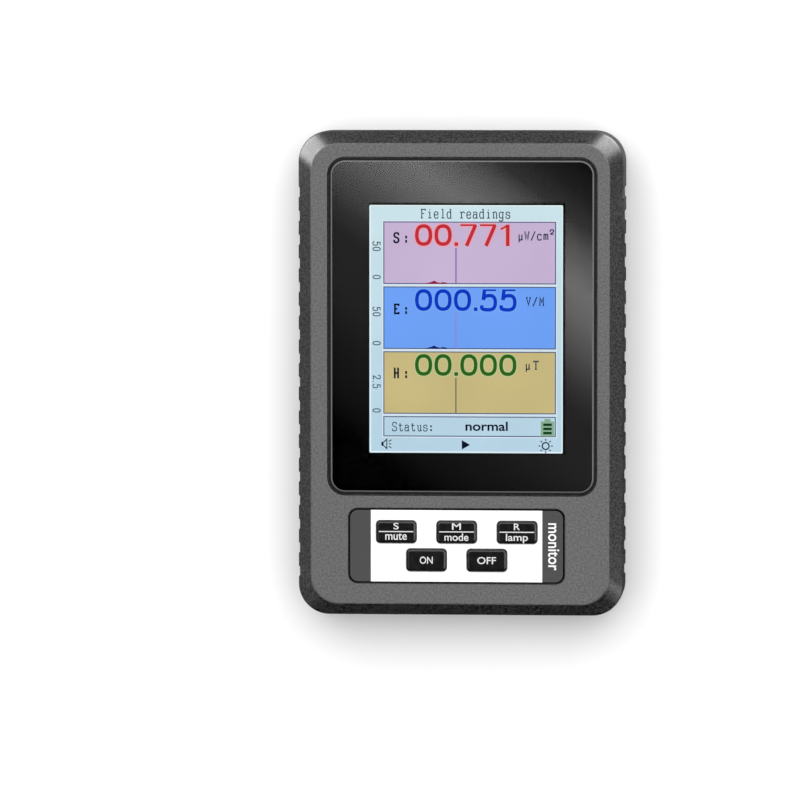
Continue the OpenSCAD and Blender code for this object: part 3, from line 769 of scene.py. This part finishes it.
def draw_chart(row, label, label_rise, reading, field, figures, halo, cursor,
               unit, unit_x, unit_rise, unit_pitch, scale, scale_pitch, scale_rise, zero_rise):
    """One chart: its field, cursor, reading, label, unit and scale."""
    chart_y = chart_top_y - row * chart_pitch
    floor_y = chart_y - chart_h / 2
    reading_y = chart_y + reading_rise
    cursor_h = reading_y - cursor_gap - floor_y

    def draw_halo(form):
        spell_reading(form, reading, reading_x, reading_y, halo_w, *at_layer(3))

    def draw_figures(form):
        spell_reading(form, reading, reading_x, reading_y, 0.0, *at_layer(4))

    def draw_scale(form):
        for text, rise in ((scale, scale_rise), ("0", zero_rise)):
            spell(form, text, scale_x, chart_y + rise, scale_style, scale_pitch, *at_layer(4), True)

    screen_plates(f"chart_{label}_field", [rectangle(chart_x, chart_y, chart_w, chart_h)], 2,
                  lit(f"screen_field_{label}", field))
    screen_plates(f"chart_{label}_cursor",
                  [rectangle(cursor_x, floor_y + cursor_h / 2, cursor_w, cursor_h)], 3,
                  lit(f"screen_cursor_{label}", cursor))
    drawn(f"chart_{label}_halo", draw_halo, lit(f"screen_halo_{label}", halo))
    drawn(f"chart_{label}_reading", draw_figures, lit(f"screen_figures_{label}", figures))
    screen_word(f"chart_{label}_label", label + ":", label_x, chart_y + label_rise,
                label_style, label_pitch, 4, dark_ink_lit)
    screen_word(f"chart_{label}_unit", unit, display.x + unit_x, chart_y + unit_rise,
                unit_style, unit_pitch, 4, ink_lit)
    drawn(f"chart_{label}_scale", draw_scale, ink_lit)


for row, chart in enumerate(charts):
    draw_chart(row, **chart)

# The low hump where a chart's trace lies on its floor.
hump = [(-10.3, 0), (-8.6, 0.45), (-7.9, 0.75), (-7.2, 0.4),
        (-6.4, 0.2), (-5.9, 0.4), (-5.0, 0.3), (-4.6, 0)]
hump_rise = 0.1

for row, label, color in ((0, "S", srgb(150, 24, 60)), (1, "E", srgb(16, 34, 110))):
    hump_y = chart_top_y - row * chart_pitch - chart_h / 2 + hump_rise
    screen_plates(f"chart_{label}_trace", [[(display.x + x, hump_y + y) for x, y in reversed(hump)]], 4,
                  lit(f"screen_trace_{label}", color))

status_y = display.y - 23.97
status_h = 5.0
screen_rects = [(chart_x, chart_top_y - row * chart_pitch, chart_w, chart_h) for row in range(len(charts))]
screen_rects.append((chart_x, status_y, chart_w, status_h))
screen_frames("screen_frames", screen_rects, line_w, 3, line_lit)
screen_frames("screen_glows", [(x, y, w + 2 * line_w, h + 2 * line_w) for x, y, w, h in screen_rects],
              line_w, 2, glow_lit)
screen_frames("screen_edge", [(display.x, display.y, screen_w, screen_h)], edge_w, 2,
              lit("screen_edge", srgb(232, 248, 251)))
screen_word("screen_title", "Field readings", display.x - 11.2, display.y + 27.2,
            title_style, 1.6, 3, ink_lit)
screen_word("screen_status_label", "Status:", display.x - 18.2, display.y - 25.05,
            status_style, 1.52, 3, ink_lit)
text_piece("screen_status", "normal", (display.x + 5.0, status_y + 0.1), 2.3, 10.4,
           *at_layer(3), dark_ink_lit, "display_film", weight=0.02)

battery_x = display.x + 19.95
battery_y = display.y - 24.45
battery_case = [rectangle(battery_x, battery_y, 3.3, 3.7), rectangle(battery_x, battery_y + 2.15, 1.5, 0.6)]
battery_bars = [rectangle(battery_x, battery_y + 1.02 * i, 2.1, 0.6) for i in (-1, 0, 1)]
screen_plates("icon_battery_case", battery_case, 4, lit("screen_battery", srgb(140, 178, 150)))
screen_plates("icon_battery_bars", battery_bars, 5, lit("screen_battery_bars", srgb(12, 62, 30)))

icon_y = display.y - 28.45


def speaker_icon(form):
    """A small box with a cone and three sound lines."""
    x, y = display.x - 20.6, icon_y + 0.15
    cone = [(x + 0.3, y + 0.45), (x + 1.05, y + 1.15), (x + 1.05, y - 1.15), (x + 0.3, y - 0.45)]
    plate(form, rectangle(x, y, 0.55, 1.0), *at_layer(3))
    ribbon(form, cone, 0.24, *at_layer(3))
    for rise in (-1, 0, 1):
        ribbon(form, [(x + 1.5, y + rise * 0.6), (x + 2.2, y + rise * 1.0)], 0.22, *at_layer(3))


def sun_icon(form):
    """A circle with eight rays."""
    x, y = display.x + 19.5, icon_y - 0.2
    ring(form, arc(x, y, 1.0, 0, 345, 23), arc(x, y, 0.68, 0, 345, 23), *at_layer(3))
    for i in range(8):
        turn = math.radians(45 * i)
        ray = [(x + reach * math.cos(turn), y + reach * math.sin(turn)) for reach in (1.3, 1.75)]
        ribbon(form, ray, 0.26, *at_layer(3))


run_icon = [(display.x + x, icon_y + y) for x, y in ((-1.1, -1.15), (0.95, 0), (-1.1, 1.15))]
drawn("icon_speaker", speaker_icon, dark_ink_lit)
drawn("icon_sun", sun_icon, dark_ink_lit)
screen_plates("icon_run", [run_icon], 3, dark_ink_lit)


# ---------- Key legends and panel print ----------

legend_white = printed("print_white", srgb(210, 210, 209))
print_t = 0.02


def key_text(name, kind, text, dy, height, width):
    """Raised print on a key, dy over its middle."""
    center = middle(f"key_{name}")
    text_piece(f"legend_{name}_{kind}", text, (center.x, center.y + dy), height, width,
               key_z, key_z + print_t, legend_white, "key_black", f"{name}_key")


def key_line(name):
    """The line that parts a key's two legends."""
    center = middle(f"key_{name}")
    plates(f"legend_{name}_line", [rectangle(center.x, center.y + 0.1, 8.5, 0.25)],
           key_z, key_z + print_t, legend_white, "key_black", f"{name}_key")


# The upper row's keys: letter over the line and its width, word under it, its width and height.
for name, upper, upper_w, lower, lower_w, lower_h in (("mute", "S", 1.3, "mute", 5.3, 1.7),
                                                      ("play", "M", 2.2, "mode", 5.9, 1.85),
                                                      ("light", "R", 1.5, "lamp", 5.4, 2.35)):
    key_text(name, "upper", upper, 1.45, 1.6, upper_w)
    key_text(name, "lower", lower, -0.25 - lower_h / 2, lower_h, lower_w)
    key_line(name)

key_text("on", "text", "ON", 0, 1.75, 3.2)
key_text("off", "text", "OFF", 0, 1.75, 4.6)

strip_x = panel.x + panel_half_w - strip_w / 2
text_piece("panel_word", "monitor", (strip_x + 0.15, panel.y - 0.05), 2.75, 11.6,
           panel_z, panel_z + print_t, printed("panel_word_white", srgb(232, 232, 231)),
           "panel_white", weight=0.012, turn=90)


# ---------- Floor, camera and lights ----------

def stage_piece(name, mesh, material):
    """Links a mesh to the scene as part of the stage."""
    mesh.materials.append(material)
    piece = bpy.data.objects.new(name, mesh)
    scene.collection.objects.link(piece)
    return piece


def stage_plane(name, half, z, material):
    """A level square, its half side and height in metres."""
    corners = [(-half, -half, z), (half, -half, z), (half, half, z), (-half, half, z)]
    mesh = bpy.data.meshes.new(name)
    mesh.from_pydata(corners, [], [(0, 1, 2, 3)])
    return stage_piece(name, mesh, material)


def floor_paint():
    """Pale matt paint, very slightly uneven."""
    color = (0.9, 0.9, 0.9)
    graph = Graph("floor_pale", color, 0.9, NO_GLOSS)
    graph.set("Base Color", graph.tone(color, graph.vary(graph.noise(60), 0.99, 1.01)))
    return graph.material


floor_half = 3.0
floor_z = -0.05 * MM
stage_plane("floor", floor_half, floor_z, floor_paint()).visible_glossy = False

# The camera looks down on the face, from a little to its right and towards its top end.
# It aims left of and below the case's middle, so the case stands right of and above the picture's.
case_center = (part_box("rear_shell")[0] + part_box("front_shell")[1]) / 2
aim_left = 14.68
aim_down = 6.37
view_distance = 1.6
view_right = math.radians(4.284)
view_up = math.radians(3.350)
aim = Vector((case_center.x - aim_left * MM, case_center.y - aim_down * MM, face_z * MM))
sight = Vector((math.sin(view_right), math.sin(view_up), 0))
sight.z = math.sqrt(1 - sight.length_squared)


def turned_to(direction, up):
    """The rotation of a camera or light that looks along direction, with up towards its top."""
    back = -direction.normalized()
    right = up.cross(back).normalized()
    return Matrix((right, back.cross(right), back)).transposed().to_euler()


camera = bpy.data.objects.new("camera", bpy.data.cameras.new("camera"))
camera.data.sensor_width = 36
camera.data.lens = 293.8
camera.data.clip_start = 0.1
camera.data.clip_end = 20
camera.location = aim + sight * view_distance
camera.rotation_euler = turned_to(-sight, Vector((0, 1, 0)))
scene.collection.objects.link(camera)
scene.camera = camera


def softbox(name, place, target, size, power, up):
    """A square light, its side in metres and its power in watts, that the camera doesn't see."""
    light = bpy.data.lights.new(name, "AREA")
    light.shape = "SQUARE"
    light.size = size
    light.energy = power
    lamp = bpy.data.objects.new(name, light)
    lamp.location = place
    lamp.rotation_euler = turned_to(Vector(target) - Vector(place), Vector(up))
    lamp.visible_camera = False
    scene.collection.objects.link(lamp)
    return lamp


def only_reflected(thing):
    """Hides a light or card from everything but reflections and glass."""
    thing.visible_camera = False
    thing.visible_diffuse = False


softbox("overhead", (0, 0.6, 1.9), (0, 0, 0), 2.6, 57, up=(0, 1, 0))
only_reflected(softbox("key_glint", (0.75, -0.05, 0.65), (0, -0.04, 0.02), 0.35, 2, up=(0, 0, 1)))


# ---------- Cards that only reflections show ----------

def card_material(name, glow, brightness):
    """A material that only glows. glow gives its colour, and brightness is what white stands for."""
    graph = Graph(name, BLACK, 1.0, {**NO_GLOSS, "Emission Strength": brightness})
    graph.set("Emission Color", glow(graph))
    return graph.material


def ramp(graph, share, steps):
    """A grey that changes linearly between steps of (place, level).

    share is 0 at the first step's place and 1 at the last one's."""
    first, last = steps[0][0], steps[-1][0]
    node = graph.add("ShaderNodeValToRGB", None, {"Fac": share})
    stops = node.color_ramp.elements
    for i, (place, level) in enumerate(steps):
        stop = stops[i] if i < 2 else stops.new(1.0)
        stop.position = (place - first) / (last - first)
        stop.color = (level, level, level, 1)
    return node.outputs["Color"]


# What the bevels mirror, by azimuth in degrees.
# The sides are even, the keypad end is dark, and it is bright towards the two top corners.
ring_steps = [
    (-180, 0.031), (-132, 0.031), (-121, 0.0), (-52, 0.0), (-42, 0.08), (-36, 0.225),
    (-30, 0.225), (-26, 0.04), (36, 0.04), (43, 1.0), (61, 1.0), (66, 0.027),
    (119, 0.027), (126, 0.77), (149, 0.77), (155, 0.031), (180, 0.031),
]
ring_radius = 160
ring_sides = 144
ring_top = 40
baffle_top = 28
strip_bottom = -30
ring_brightness = 25.5


def ring_glow(graph):
    """The ring's grey, by azimuth."""
    azimuth = graph.maths("ARCTAN2", graph.axis("Y"), graph.axis("X"))
    return ramp(graph, graph.spread(azimuth, -math.pi, math.pi), ring_steps)


def baffle_glow(_):
    """An even dark grey."""
    return (*srgb(46, 46, 46), 1)


def standing_strip(name, outline, top, material, closed=False):
    """An upright strip along an outline, from strip_bottom up to top."""
    form = bmesh.new()
    low = [form.verts.new((x, y, strip_bottom)) for x, y in outline]
    high = [form.verts.new((x, y, top)) for x, y in outline]
    for i in range(len(outline) if closed else len(outline) - 1):
        j = (i + 1) % len(outline)
        form.faces.new((low[i], low[j], high[j], high[i]))
    strip = stage_piece(name, to_mesh(name, form), material)
    only_reflected(strip)
    strip.visible_shadow = False


ring_outline = arc(0, 0, ring_radius, 0, 360 * (ring_sides - 1) / ring_sides, ring_sides - 1)
standing_strip("reflection_ring", ring_outline, ring_top,
               card_material("reflection_ring", ring_glow, ring_brightness), closed=True)

# Baffles beside each top corner keep its bright stretch of ring out of the long bevels.
baffle_material = card_material("baffles", baffle_glow, ring_brightness)
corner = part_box("front_shell")[1] / MM
for side, hand in ((-1, "left"), (1, "right")):
    beside = [(side * (corner.x + 3), corner.y - 17), (side * (corner.x + 70), corner.y + 2)]
    beyond = [(side * (corner.x - 10), corner.y + 3), (side * (corner.x - 2), corner.y + 80)]
    standing_strip(f"baffle_{hand}_side", beside, baffle_top, baffle_material)
    standing_strip(f"baffle_{hand}_end", beyond, baffle_top, baffle_material)

# What the lens mirrors, by distance along a diagonal in millimetres, as the shade it leaves on black.
diagonal = (0.609, 0.793)
lens_steps = [
    (-29, 0), (-22.5, 12), (-10.7, 23), (-1, 33), (10, 35), (14.8, 48), (21, 72), (28.5, 97), (34, 108),
    (40.7, 86), (46.9, 49), (53, 30), (59, 16),
]
lens_mirrors = 0.075
key_shade = 24
card_height = 1.0
card_margin = 0.04


def lens_glow(graph):
    """A soft diagonal band, and an even faint glow below the lens, for the keys."""
    climb = graph.maths("ADD", graph.maths("MULTIPLY", graph.axis("X"), diagonal[0]),
                        graph.maths("MULTIPLY", graph.axis("Y"), diagonal[1]))
    steps = [(place, srgb(shade, shade, shade)[0]) for place, shade in lens_steps]
    band = ramp(graph, graph.spread(climb, steps[0][0] * MM, steps[-1][0] * MM), steps)
    lens_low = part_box("window_lens")[0].y
    below = graph.spread(graph.axis("Y"), lens_low - 3 * MM, lens_low - 1 * MM, 1, 0)
    return graph.blend(below, band, srgb(key_shade, key_shade, key_shade))


def outside_display(graph):
    """1 outside the lit display and 0 over it, so that nothing washes the picture out."""
    edges = [graph.spread(graph.away(axis, at), (size / 2 + 0.1) * MM, (size / 2 + 0.5) * MM)
             for axis, at, size in (("X", display.x + 0.25, screen_w), ("Y", display.y + 0.2, screen_h))]
    return graph.maths("MAXIMUM", *edges)


def card_glow(graph):
    """The lens's glow, cut out over the display."""
    return graph.tone(lens_glow(graph), outside_display(graph))


def reflection_card():
    """A card over the face. Its mesh is laid out as the lens mirrors it to the camera."""
    lens_low, lens_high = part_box("window_lens")
    share = (card_height - lens_high.z) / (camera.location.z - lens_high.z)
    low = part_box("keypad_panel")[0].y - card_margin
    high = lens_high.y + card_margin
    half = (lens_high.x - lens_low.x) / 2 + card_margin
    card = stage_plane("reflection_card", 1.0, 0.0,
                       card_material("reflection_card", card_glow, 1 / lens_mirrors))
    card.data.transform(Matrix.Diagonal((half, (high - low) / 2, 1, 1)))
    card.data.transform(Matrix.Translation((lens.x * MM, (high + low) / 2, 0)))
    card.scale = (1 + share, 1 + share, 1)
    card.location = (-camera.location.x * share, -camera.location.y * share, card_height)
    only_reflected(card)


reflection_card()


# ---------- Surroundings and colour view ----

world = bpy.data.worlds.new("studio")
world.cycles_visibility.glossy = False
world.use_nodes = True
surroundings = world.node_tree.nodes["Background"].inputs
surroundings["Color"].default_value = (1, 1, 1, 1)
surroundings["Strength"].default_value = 0.45
scene.world = world
scene.view_settings.view_transform = "Standard"
scene.view_settings.look = "None"
